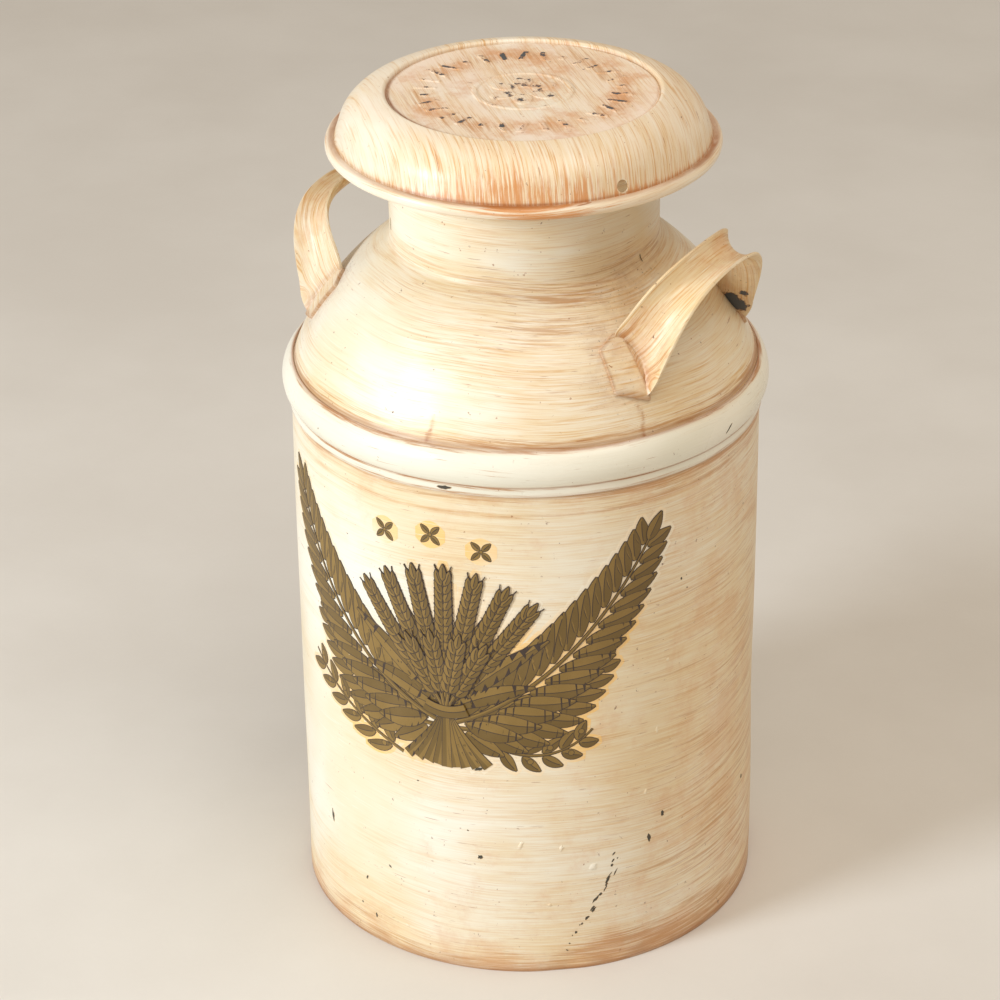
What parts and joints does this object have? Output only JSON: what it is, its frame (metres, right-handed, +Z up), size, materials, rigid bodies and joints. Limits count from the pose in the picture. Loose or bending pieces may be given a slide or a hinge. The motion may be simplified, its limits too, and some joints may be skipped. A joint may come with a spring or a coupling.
{
  "type": "milk can",
  "caption": "Cylindrical steel dairy can with a domed shoulder, narrow neck, two trough-shaped handles and a lift-off umbrella lid with a deep plug.",
  "frame": {"origin": "centre of the base, on the floor the can stands on", "axes": "+Z up the can's axis; the handles lie on +X and -X; the decorated front faces -Y and the side seam is on +Y"},
  "size_m": [0.342, 0.342, 0.61],
  "materials": {
    "body_paint": "cream antiqued enamel with brown brushed glaze, chipped",
    "shoulder_paint": "cream antiqued enamel with brown brushed glaze",
    "hoop_paint": "cooler cream enamel, little glaze",
    "handle_paint": "cream enamel, heavily glazed, worn to dark steel",
    "lid_paint": "cream enamel with diagonal brown brush strokes",
    "lid_disc_paint": "rubbed cream enamel over raised marks",
    "emblem_print": "olive gold and dark brown printed emblem on an amber ground",
    "tinned_steel": "dull tinned steel",
    "bare_wire": "drawn steel wire",
    "solder": "tin-lead solder"
  },
  "bodies": {
    "can": {"body_shell": "body_paint", "side_seam_solder": "body_paint", "foot_ring": "tinned_steel", "bottom_pan": "tinned_steel", "bottom_solder": "solder", "breast": "shoulder_paint", "breast_solder": "solder", "breast_hoop": "hoop_paint", "mouth_ring": "tinned_steel", "mouth_ring_wire": "bare_wire", "mouth_solder": "solder", "handle_right": "handle_paint", "handle_left": "handle_paint"},
    "rim_wire": {"lid_rim_wire": "bare_wire"},
    "lid": {"lid_umbrella": "lid_paint", "lid_top_disc": "lid_disc_paint", "lid_plug_skirt": "tinned_steel", "lid_plug_pan": "tinned_steel", "lid_plug_solder": "solder"}
  },
  "joints": [
    {"name": "lid_lift", "type": "slide", "parent": "can", "child": "rim_wire", "axis": [0, 0, 1], "range_m": [0, 0.2]},
    {"name": "lid_turn", "type": "hinge", "parent": "rim_wire", "child": "lid", "pos_m": [0, 0, 0.5739], "axis": [0, 0, 1], "continuous": true}
  ]
}
